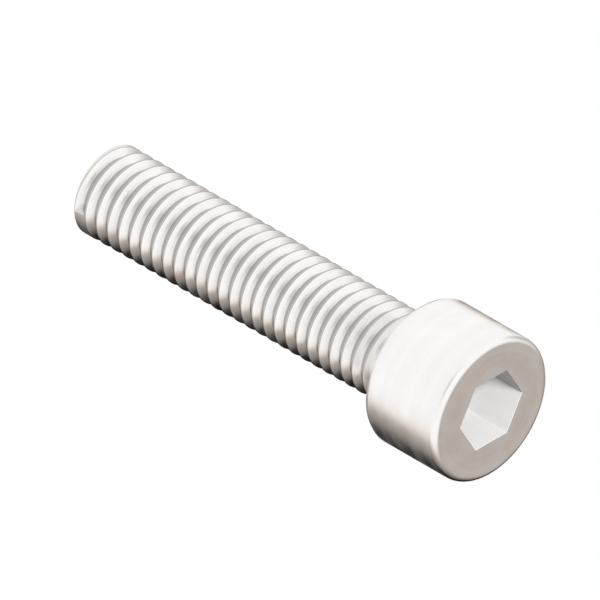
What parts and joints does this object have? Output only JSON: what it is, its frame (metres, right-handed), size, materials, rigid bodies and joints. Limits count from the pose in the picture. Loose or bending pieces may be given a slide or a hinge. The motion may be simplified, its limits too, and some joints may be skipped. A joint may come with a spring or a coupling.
{
  "type": "socket head cap screw",
  "caption": "Socket head cap screw with a cylindrical head, a hexagonal drive socket and a left-hand thread along its whole shank, for clamping parts together.",
  "frame": {"origin": "centre of the head's flat face, on which the screw stands", "axes": "+Z along the screw, from the head's flat face towards the tip; +X towards a flat of the hexagonal socket and +Y towards one of its corners"},
  "size_m": [0.0128, 0.0128, 0.043],
  "materials": {
    "steel": "satin, plain"
  },
  "bodies": {
    "root": {"screw": "steel"}
  },
  "joints": []
}
